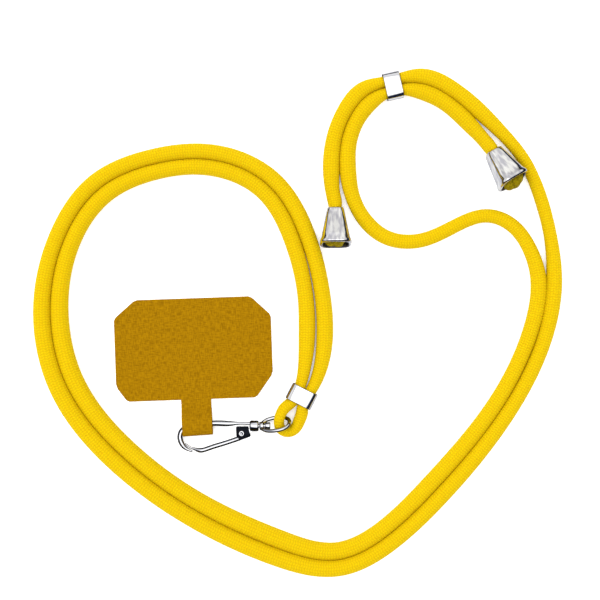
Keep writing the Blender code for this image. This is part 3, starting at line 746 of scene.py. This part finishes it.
def cut_corner(piece, corner):
    """Cuts a corner of the card off along a straight line, in edit mode."""
    x, y = corner.right * patch_width / 2, corner.top * patch_depth / 2
    first = Vector((x - corner.right * corner.cut_width * patch_width, y, 0))
    second = Vector((x, y - corner.top * corner.cut_depth * patch_depth, 0))
    way = (second - first).normalized()
    out = Vector((way.y, -way.x, 0))
    if out.x * corner.right < 0:
        out = -out
    top, right = Vector((0, corner.top, 0)), Vector((corner.right, 0, 0))
    cuts = [(first, out)]
    for place, edge in ((first, top), (second, right)):
        half = (out + edge).normalized()
        cuts.append((place - half * patch_rounding, half))
    for place, normal in cuts:
        bpy.ops.mesh.select_all(action="SELECT")
        bpy.ops.mesh.bisect(plane_co=place, plane_no=normal, clear_outer=True, threshold=0.000001)


def card_lift(x, y):
    """The card isn't quite flat: it bows by a few tenths of a millimetre."""
    bow = 0.00016 * (x / patch_width * 2) ** 2 + 0.00010 * (y / patch_depth * 2) ** 2
    return bow + 0.00004 * math.sin(150 * x + 1.0) * math.cos(190 * y)


deselect()
bpy.ops.mesh.primitive_grid_add(x_subdivisions=patch_columns, y_subdivisions=patch_rows, size=1)
bpy.context.object.scale = (patch_width, patch_depth, 1)
patch = named("woven_phone_patch")
enter(patch)
for corner in patch_corners:
    cut_corner(patch, corner)
for side in (-1, 1):
    bpy.ops.mesh.select_all(action="SELECT")
    edge = tongue_from_centre + side * tongue_width / 2
    bpy.ops.mesh.bisect(plane_co=(edge, 0, 0), plane_no=(1, 0, 0), threshold=0.000001)
leave()

tongue_root = Vector((tongue_from_centre, -patch_depth / 2, 0))
tongue_way = Matrix.Rotation(math.radians(tongue_turn - patch_turn), 4, "Z")


def tongue_place(along, across, height):
    """A place on the tongue in the card's own frame, before the card is turned."""
    return tongue_root + tongue_way @ Vector((across, -along, height))


def make_cloth(piece):
    """Maps the card flat, bows it and adds the folded tongue to its lower edge."""
    folds = read_curve(np.array([(f.along, f.height, f.height, f.rise) for f in tongue_folds]), 0.0006)
    shape = bmesh.new()
    shape.from_mesh(piece.data)
    weave_map = shape.loops.layers.uv.new("weave_map")
    flat = {}
    for vert in shape.verts:
        flat[vert] = (vert.co.x, vert.co.y)
    root = [
        v
        for v in shape.verts
        if abs(v.co.y + patch_depth / 2) < 1e-6
        and abs(v.co.x - tongue_from_centre) < tongue_width / 2 + 0.00001
    ]
    root.sort(key=lambda v: v.co.x)
    for vert in shape.verts:
        vert.co.z = cloth / 2 + card_lift(vert.co.x, vert.co.y)
    last = root
    travelled = 0.0
    for before, fold in zip(folds, folds[1:]):
        travelled += math.hypot(fold[0] - before[0], fold[1] - before[1])
        line = []
        for start in root:
            across = flat[start][0] - tongue_from_centre
            blend = min(1.0, travelled / 0.003)
            rest = (1 - blend) * (start.co.z - cloth / 2 - 0.00005)
            height = fold[1] + rest - across * bar_slope * fold[3]
            vert = shape.verts.new(tongue_place(fold[0], across, height))
            flat[vert] = (flat[start][0], -patch_depth / 2 - travelled)
            line.append(vert)
        for i in range(len(line) - 1):
            shape.faces.new((last[i], line[i], line[i + 1], last[i + 1]))
        last = line
    bmesh.ops.recalc_face_normals(shape, faces=shape.faces)
    for face in shape.faces:
        for loop in face.loops:
            loop[weave_map].uv = flat[loop.vert]
    shape.to_mesh(piece.data)
    shape.free()
    return travelled


tongue_length = make_cloth(patch)
apply_modifier(patch, "SOLIDIFY", thickness=cloth, offset=0.0, use_even_offset=True)
round_edges(patch, 0.00012, 2, 60.0)
smooth(patch, 50.0)
put(patch, Matrix.Rotation(math.radians(patch_turn), 4, "Z"))


def weave_group(pitch):
    """Plain weave: warp and weft threads that pass over and under each other."""
    group = bpy.data.node_groups.new("plain_weave", "ShaderNodeTree")
    group.interface.new_socket("Map", in_out="INPUT", socket_type="NodeSocketVector")
    group.interface.new_socket("Thread", in_out="OUTPUT", socket_type="NodeSocketFloat")
    group.interface.new_socket("Slub", in_out="OUTPUT", socket_type="NodeSocketFloat")
    start = group.nodes.new("NodeGroupInput")
    end = group.nodes.new("NodeGroupOutput")
    split = group.nodes.new("ShaderNodeSeparateXYZ")
    group.links.new(start.outputs["Map"], split.inputs[0])
    waves = []
    slubs = []
    for axis, other in (("X", "Y"), ("Y", "X")):
        across = add_math(group, "MULTIPLY", split.outputs[axis], math.pi / pitch)
        along = add_math(group, "MULTIPLY", split.outputs[other], math.pi / pitch)
        profile = add_math(group, "ABSOLUTE", add_math(group, "SINE", across))
        thread = add_math(group, "FLOOR", add_math(group, "DIVIDE", split.outputs[axis], pitch))
        swap = add_math(group, "MULTIPLY", thread, math.pi)
        if axis == "Y":
            swap = add_math(group, "ADD", swap, math.pi)
        over = add_math(group, "SINE", add_math(group, "ADD", along, swap))
        lift = add_math(group, "MULTIPLY_ADD", over, 0.5, 0.5)
        waves.append(add_math(group, "MULTIPLY", profile, lift))
        noise = group.nodes.new("ShaderNodeTexNoise")
        noise.inputs["Scale"].default_value = 1.0
        noise.inputs["Detail"].default_value = 1.0
        stretched = group.nodes.new("ShaderNodeCombineXYZ")
        group.links.new(add_math(group, "MULTIPLY", split.outputs[axis], 2500.0), stretched.inputs[0])
        group.links.new(add_math(group, "MULTIPLY", split.outputs[other], 430.0), stretched.inputs[1])
        stretched.inputs[2].default_value = 7.0 if axis == "X" else 3.0
        group.links.new(stretched.outputs[0], noise.inputs["Vector"])
        slubs.append(noise.outputs["Fac"])
    group.links.new(add_math(group, "MAXIMUM", *waves), end.inputs["Thread"])
    group.links.new(add_math(group, "MULTIPLY", add_math(group, "ADD", *slubs), 0.5), end.inputs["Slub"])
    return group


def cloth_material():
    material, tree, surface = new_material("ochre_cloth", (0.43, 0.216, 0.005), 0.8, 0.0)
    place = tree.nodes.new("ShaderNodeUVMap")
    place.uv_map = "weave_map"
    weave = tree.nodes.new("ShaderNodeGroup")
    weave.node_tree = weave_group(0.00042)
    ramp = tree.nodes.new("ShaderNodeValToRGB")
    ramp.color_ramp.elements[0].position = 0.37
    ramp.color_ramp.elements[0].color = (0.185, 0.086, 0.0005, 1.0)
    ramp.color_ramp.elements[1].position = 0.61
    ramp.color_ramp.elements[1].color = (0.30, 0.150, 0.0012, 1.0)
    # The weave's thread height lightens the top of each thread and darkens the gaps between threads: painted
    # shade. The slubs are the yarn's own uneven tone.
    painted_thread_shade = add_math(tree, "MULTIPLY_ADD", weave.outputs["Thread"], 0.16, -0.08)
    slub_and_thread_shade = add_math(tree, "ADD", weave.outputs["Slub"], painted_thread_shade)
    relief = tree.nodes.new("ShaderNodeBump")
    relief.inputs["Strength"].default_value = 0.6
    relief.inputs["Distance"].default_value = 0.0001
    wire_up(
        tree,
        (
            (place.outputs["UV"], weave.inputs["Map"]),
            (slub_and_thread_shade, ramp.inputs["Fac"]),
            (ramp.outputs["Color"], surface.inputs["Base Color"]),
            (weave.outputs["Thread"], relief.inputs["Height"]),
            (relief.outputs["Normal"], surface.inputs["Normal"]),
        ),
    )
    surface.inputs["Specular IOR Level"].default_value = 0.02
    return material


patch.data.materials.append(cloth_material())
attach(patch, "strap")
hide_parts("phone_patch")

# Hook frame
# Cast and bent steel, chromed: the straight spine with its round nose, the swivel head that it ends in, the
# ear that carries the gate, and the riveted stud that the ring turns on.
hook_place = (0.001823, -0.032102, 0.00262)
hook_pitch = -2.5
wire_radius = 0.00112
head_axis = Vector((0.022125, -0.000128, 0.0))
head_radius = 0.00225
head_length = 0.0036
stud_radius = 0.00075
stud_head_radius = 0.0015
stud_head_length = 0.0021
rivet_place = Vector((0.018644, -0.003318, 0.0))
ear_radius = 0.0015
ear_thickness = 0.0008
rivet_bore = 0.00074
Bend = namedtuple("Bend", "x y girth")
spine_bends = (
    Bend(0.02331, 0.00081, 0.55),
    Bend(0.02006, 0.00093, 0.50),
    Bend(0.01681, 0.00093, 0.60),
    Bend(0.01386, 0.00081, 0.95),
    Bend(0.00619, 0.00087, 1.00),
    Bend(0.00000, 0.00000, 1.00),
    Bend(-0.00442, -0.00087, 1.00),
    Bend(-0.00664, -0.00244, 1.00),
    Bend(-0.00738, -0.00464, 1.00),
    Bend(-0.00687, -0.00708, 1.00),
    Bend(-0.00561, -0.00905, 0.85),
    Bend(-0.00398, -0.01018, 0.56),
    Bend(-0.00251, -0.01079, 0.42),
)
hook_matrix = Matrix.Translation(hook_place) @ Matrix.Rotation(math.radians(hook_pitch), 4, "Y")


def rounded_tips(rows):
    """Adds a small dome to each end of a wire."""
    rows = np.asarray(rows)
    domes = []
    for end, inner in ((rows[0], rows[1]), (rows[-1], rows[-2])):
        way = (end[:3] - inner[:3]) / np.linalg.norm(end[:3] - inner[:3])
        dome = []
        for degrees in (25, 50, 70, 84):
            turn = math.radians(degrees)
            dome.append((*(end[:3] + way * end[3] * math.sin(turn)), end[3] * math.cos(turn)))
        domes.append(dome)
    return np.concatenate([domes[0][::-1], rows, domes[1]])


def bent_wire(name, rows, cyclic=False):
    """A round wire through rows of place and radius, made as a curve and turned into a mesh."""
    curve = bpy.data.curves.new(name, "CURVE")
    curve.dimensions = "3D"
    curve.bevel_depth = 1.0
    curve.bevel_resolution = 6
    curve.use_fill_caps = True
    spline = curve.splines.new("POLY")
    spline.points.add(len(rows) - 1)
    for point, row in zip(spline.points, rows):
        point.co = (*row[:3], 1.0)
        point.radius = row[3]
    spline.use_cyclic_u = cyclic
    wire = bpy.data.objects.new(name, curve)
    bpy.context.scene.collection.objects.link(wire)
    pick(wire)
    bpy.ops.object.convert(target="MESH")
    wire = bpy.context.object
    enter(wire)
    bpy.ops.mesh.select_all(action="SELECT")
    bpy.ops.mesh.remove_doubles(threshold=0.000002)
    bpy.ops.mesh.normals_make_consistent(inside=False)
    leave()
    return wire


def wire_rows(bends, radius):
    rows = np.array([(bend.x, bend.y, 0.0, radius * bend.girth) for bend in bends])
    return rounded_tips(read_curve(rows, 0.0004))


hook = bent_wire("chromed_hook_frame", wire_rows(spine_bends, wire_radius))
head_end = head_axis + Vector((head_length, 0, 0))
head = add_rod("head", head_radius, head_axis, head_end, 64)
round_edges(head, 0.0005, 4)
ring_boss_half = 0.0011
stud_end = head_end + Vector((2 * ring_boss_half + 0.0006, 0, 0))
stud_sunk = Vector((0.001, 0, 0))
stud = add_rod("stud", stud_radius, head_end - stud_sunk, stud_end + stud_sunk)
stud_top = stud_end + Vector((stud_head_length, 0, 0))
stud_head = add_rod("stud_head", stud_head_radius, stud_end, stud_top, 64)
round_edges(stud_head, 0.00022, 3)
ear_half = Vector((0, 0, ear_thickness / 2))
ear = add_rod("ear", ear_radius, rivet_place - ear_half, rivet_place + ear_half)
ear_arm = add_block(
    "ear_arm",
    (0.0, -0.55 * ear_radius, -ear_thickness / 2),
    (0.0045, 0.60 * ear_radius, ear_thickness / 2),
)
put(ear_arm, Matrix.Translation(rivet_place) @ Matrix.Rotation(math.radians(17.8), 4, "Z"))
unite(ear, ear_arm)
bore_half = Vector((0, 0, 0.003))
bore = add_rod("bore", rivet_bore, rivet_place - bore_half, rivet_place + bore_half)
unite(ear, bore, "DIFFERENCE")
for other in (head, stud, stud_head, ear):
    unite(hook, other)
smooth(hook, 40.0)
put(hook, hook_matrix)
wire_crown = (0.93, 0.93, 0.95)
wire_streak = (0.70, 0.71, 0.74)
# Near-black painted shade for the flanks of the hook's and the gate's wires.
wire_painted_flank_shade = (0.085, 0.090, 0.115)
hook_chrome = chrome_material("chrome_hook", 0.0, wire_crown, wire_streak, 0.06, 0.02, wire_painted_flank_shade)
fit_metal(hook, hook_chrome, "strap", "hook_frame")

# Hook gate
# The closing arm is cast in one with its hinge plate, whose two cheeks fold round the ear. A small spring
# inside pushes the arm against the nose.
arm_radius = 0.0010
arm_bends = (
    Bend(-0.00487, -0.00780, 0.34),
    Bend(-0.00369, -0.00882, 0.40),
    Bend(-0.00221, -0.00957, 0.45),
    Bend(-0.00074, -0.01006, 0.70),
    Bend(0.00103, -0.01050, 1.00),
    Bend(0.00295, -0.01021, 1.00),
    Bend(0.00546, -0.00934, 1.00),
    Bend(0.01121, -0.00754, 1.00),
    Bend(0.01770, -0.00534, 1.00),
)
hinge_half = 0.00105
hinge_slot_half = 0.0006
Plate = namedtuple("Plate", "right up")
hinge_corners = (
    Plate(-0.00232, 0.00290),
    Plate(-0.00215, -0.00116),
    Plate(-0.00070, -0.00290),
    Plate(0.00383, -0.00116),
    Plate(0.00313, 0.00139),
    Plate(0.00273, 0.00290),
)


def extruded(name, outline, low, high):
    """A flat plate of an outline: one face filled between its corners, then extruded upwards."""
    deselect()
    bpy.ops.mesh.primitive_circle_add(vertices=len(outline), radius=0.001, fill_type="NGON")
    plate = named(name)
    for vert, (x, y) in zip(plate.data.vertices, outline):
        vert.co = (x, y, low)
    enter(plate)
    bpy.ops.mesh.select_all(action="SELECT")
    bpy.ops.mesh.extrude_region_move(TRANSFORM_OT_translate={"value": (0, 0, high - low)})
    bpy.ops.mesh.select_all(action="SELECT")
    bpy.ops.mesh.normals_make_consistent(inside=False)
    leave()
    return plate


plate = extruded("hinge_plate", hinge_corners, -hinge_half, hinge_half)
enter(plate)
choose(plate, "edges", lambda e: along_axis(e, 2))
bpy.ops.mesh.bevel(offset=0.00045, segments=4, affect="EDGES")
choose(plate, "edges", lambda e: abs(e.calc_face_angle(0)) > 0.9)
bpy.ops.mesh.bevel(offset=0.00012, segments=2, affect="EDGES")
leave()
slot_reach = ear_radius + 0.0003
slot_far = 0.0116
slot_outline = (
    (-slot_reach, slot_reach),
    (-slot_reach, -slot_far),
    (slot_far, -slot_far),
    (slot_far, slot_reach + 0.2 * slot_far),
    (0.0, slot_reach),
)
slot = extruded("hinge_slot", slot_outline, -hinge_slot_half, hinge_slot_half)
unite(plate, slot, "DIFFERENCE")
put(plate, Matrix.Translation(rivet_place))
bore = add_rod("bore", rivet_bore, rivet_place - bore_half, rivet_place + bore_half)
unite(plate, bore, "DIFFERENCE")
arm = bent_wire("gate_arm", wire_rows(arm_bends, arm_radius))
# The hinge plate's chrome is coloured near black: a painted dark reflection.
painted_dark_chrome = chrome_material("chrome_hinge", 0.0, (0.010, 0.011, 0.016), (0.006, 0.007, 0.010), 0.25, 0.03)
gate_chrome = chrome_material("chrome_gate", 19.0, wire_crown, wire_streak, 0.06, 0.02, wire_painted_flank_shade)
for part in (plate, arm):
    part.data.materials.append(painted_dark_chrome)
    part.data.materials.append(gate_chrome)
for face in arm.data.polygons:
    face.material_index = 1
plate.name = "chromed_hook_gate"
unite(plate, arm)
smooth(plate, 40.0)
put(plate, hook_matrix)
fit_metal(plate, None, "gate", "hook_gate")

# Gate rivet
# A steel rivet with a low dome on each side. It holds the hinge plate on the ear.
rivet_radius = 0.00062
rivet_dome_radius = 0.0013
rivet_dome_height = 0.0005
rivet_reach = 0.00117


def rivet_dome(name, side):
    start = rivet_place + Vector((0, 0, side * rivet_reach))
    dome = add_rod(name, rivet_dome_radius, start, start + Vector((0, 0, side * rivet_dome_height)), 40)
    enter(dome)
    choose(dome, "faces", lambda f: f.normal.z * side > 0.9)
    bpy.ops.mesh.bevel(offset=0.00042, segments=5, affect="EDGES")
    choose(dome, "faces", lambda f: f.normal.z * side > 0.999)
    bpy.ops.mesh.inset(thickness=0.0002)
    bpy.ops.mesh.inset(thickness=0.0003, depth=-0.00025)
    leave()
    return dome


shank_half = Vector((0, 0, rivet_reach + 0.0001))
rivet = add_rod("domed_gate_rivet", rivet_radius, rivet_place - shank_half, rivet_place + shank_half)
for name, side in (("upper_dome", 1), ("lower_dome", -1)):
    unite(rivet, rivet_dome(name, side))
smooth(rivet, 40.0)
put(rivet, hook_matrix)
fit_metal(rivet, hook_chrome, "strap", "gate_rivet")

# Swivel ring
# Oval wire ring with a pierced boss at its base, chromed. It turns on the hook's stud, and the cord's turn
# goes through it.
ring_place = (0.028923, -0.032229, 0.003803)
ring_angles = (-52.351, -7.476, 8.038)
ring_length = 0.0118
ring_width = 0.0080
ring_wire = 0.0008
ring_squareness = 2.3
ring_points = 120
ring_boss_radius = 0.0018
ring_boss_length = 0.0017
ring_bore = 0.00125


def ring_rows():
    rows = []
    for i in range(ring_points):
        turn = 2 * math.pi * i / ring_points
        along, across = math.cos(turn), math.sin(turn)
        along = math.copysign(abs(along) ** (2 / ring_squareness), along)
        across = math.copysign(abs(across) ** (2 / ring_squareness), across)
        rows.append(((1 - along) * ring_length / 2, across * ring_width / 2, 0.0, ring_wire))
    return rows


ring = bent_wire("chromed_swivel_ring", ring_rows(), cyclic=True)
boss = add_rod("boss", ring_boss_radius, (-ring_boss_length / 2, 0, 0), (ring_boss_length / 2, 0, 0), 48)
round_edges(boss, 0.0003, 3)
unite(ring, boss)
bore = add_rod("bore", ring_bore, (-ring_boss_length, 0, 0), (ring_boss_length, 0, 0))
unite(ring, bore, "DIFFERENCE")
smooth(ring, 40.0)
ring_turn = [math.radians(angle) for angle in ring_angles]
ring_matrix = Matrix.Translation(ring_place) @ Matrix.Rotation(ring_turn[2], 4, "Z")
ring_matrix = ring_matrix @ Matrix.Rotation(ring_turn[1], 4, "Y") @ Matrix.Rotation(ring_turn[0], 4, "X")
put(ring, ring_matrix)
ring_streak = (0.74, 0.75, 0.78)
# A lighter painted shade for the flanks of the ring's wire.
ring_painted_flank_shade = (0.30, 0.31, 0.34)
ring_chrome = chrome_material("chrome_ring", 8.0, wire_crown, ring_streak, 0.06, 0.02, ring_painted_flank_shade)
fit_metal(ring, ring_chrome, "strap", "swivel_ring")

# Floor and light
# A plain white floor under an even white sky, and one wide soft lamp from the upper left. What the metal
# mirrors is a studio room: white above, dark along the horizon. In the metal the floor shows as a painted
# reflection: grey only close to a piece and away from the hook, near black elsewhere.
floor_size = 6.0
hook_middle = (0.015, -0.036, 0.0)
deselect()
bpy.ops.mesh.primitive_plane_add(size=floor_size)
floor = bpy.context.object
floor.name = "floor"
floor_white, floor_tree, floor_surface = new_material("floor_white", (0.92, 0.92, 0.92), 0.9, 0.0)
floor_surface.inputs["Specular IOR Level"].default_value = 0.0
floor_place = floor_tree.nodes.new("ShaderNodeTexCoord")
floor_reach = floor_tree.nodes.new("ShaderNodeVectorMath")
floor_reach.operation = "DISTANCE"
floor_reach.inputs[1].default_value = hook_middle
floor_mirrored = floor_tree.nodes.new("ShaderNodeBsdfDiffuse")
floor_path = floor_tree.nodes.new("ShaderNodeLightPath")
floor_mix = floor_tree.nodes.new("ShaderNodeMixShader")
floor_output = floor_tree.nodes["Material Output"]
floor_surface.inputs["Emission Color"].default_value = (1.0, 1.0, 1.0, 1.0)
floor_glow = add_math(floor_tree, "MULTIPLY", floor_path.outputs["Is Camera Ray"], 0.3)
# Painted reflection: the floor that the metal mirrors is grey only close to the piece and away from the
# hook, near black elsewhere.
floor_near = add_range(floor_tree, floor_path.outputs["Ray Length"], 0.014, 0.040, 1.0, 0.0)
floor_range = add_range(floor_tree, floor_reach.outputs["Value"], 0.030, 0.050, kind="LINEAR")
painted_reflection_share = add_math(floor_tree, "MULTIPLY", floor_near, floor_range)
painted_floor_reflection = add_mix(floor_tree, painted_reflection_share, (0.03, 0.033, 0.05), (0.50, 0.51, 0.54))
wire_up(
    floor_tree,
    (
        (floor_place.outputs["Object"], floor_reach.inputs[0]),
        (floor_glow, floor_surface.inputs["Emission Strength"]),
        (painted_floor_reflection, floor_mirrored.inputs["Color"]),
        (floor_path.outputs["Is Glossy Ray"], floor_mix.inputs[0]),
        (floor_surface.outputs["BSDF"], floor_mix.inputs[1]),
        (floor_mirrored.outputs["BSDF"], floor_mix.inputs[2]),
        (floor_mix.outputs["Shader"], floor_output.inputs["Surface"]),
    ),
)
floor.data.materials.append(floor_white)

lamp_data = bpy.data.lights.new("lamp", "SUN")
lamp_data.energy = 2.0
lamp_data.angle = math.radians(80)
lamp = bpy.data.objects.new("lamp", lamp_data)
bpy.context.scene.collection.objects.link(lamp)
lamp.rotation_euler = (math.radians(-16), math.radians(-18), 0)
lamp.visible_glossy = False

room = bpy.data.worlds.new("room")
bpy.context.scene.world = room
room.use_nodes = True
room_tree = room.node_tree
room_tree.nodes.clear()
sky_way = room_tree.nodes.new("ShaderNodeTexCoord")
sky_split = room_tree.nodes.new("ShaderNodeSeparateXYZ")
sky_east = add_math(room_tree, "MULTIPLY", sky_split.outputs["X"], -0.42)
sky_side = add_math(room_tree, "MULTIPLY_ADD", sky_split.outputs["Y"], 0.55, sky_east)
sky_level = add_math(room_tree, "ADD", sky_split.outputs["Z"], sky_side)
sky_ramp = room_tree.nodes.new("ShaderNodeValToRGB")
sky_stops = (
    (0.0, (0.006, 0.010, 0.030)),
    (1.0, (0.84, 0.84, 0.85)),
    (0.36, (0.006, 0.010, 0.030)),
    (0.44, (0.25, 0.29, 0.38)),
    (0.60, (0.90, 0.90, 0.88)),
)
stops = sky_ramp.color_ramp.elements
for i, (position, colour) in enumerate(sky_stops):
    stop = stops[i] if i < 2 else stops.new(position)
    stop.position = position
    stop.color = (*colour, 1.0)
sky_noise = room_tree.nodes.new("ShaderNodeTexNoise")
sky_noise.inputs["Scale"].default_value = 2.6
sky_noise.inputs["Detail"].default_value = 1.0
sky_low = add_range(room_tree, sky_split.outputs["Z"], 0.10, 0.32)
sky_top = add_range(room_tree, sky_split.outputs["Z"], 0.90, 0.96)
sky_patches = add_range(room_tree, sky_noise.outputs["Fac"], 0.36, 0.64, 0.85, 1.15)
sky_uneven = add_math(room_tree, "MULTIPLY", sky_patches, sky_low)
sky_strength = add_math(room_tree, "MULTIPLY_ADD", sky_top, 1.0, sky_uneven)
mirrored_sky = room_tree.nodes.new("ShaderNodeBackground")
plain_sky = room_tree.nodes.new("ShaderNodeBackground")
plain_sky.inputs["Color"].default_value = (1.0, 1.0, 1.0, 1.0)
plain_sky.inputs["Strength"].default_value = 1.3
sky_path = room_tree.nodes.new("ShaderNodeLightPath")
sky_mix = room_tree.nodes.new("ShaderNodeMixShader")
sky_output = room_tree.nodes.new("ShaderNodeOutputWorld")
wire_up(
    room_tree,
    (
        (sky_way.outputs["Generated"], sky_split.inputs[0]),
        (sky_way.outputs["Generated"], sky_noise.inputs["Vector"]),
        (sky_strength, mirrored_sky.inputs["Strength"]),
        (sky_level, sky_ramp.inputs["Fac"]),
        (sky_ramp.outputs["Color"], mirrored_sky.inputs["Color"]),
        (sky_path.outputs["Is Glossy Ray"], sky_mix.inputs[0]),
        (plain_sky.outputs["Background"], sky_mix.inputs[1]),
        (mirrored_sky.outputs["Background"], sky_mix.inputs[2]),
        (sky_mix.outputs["Shader"], sky_output.inputs["Surface"]),
    ),
)
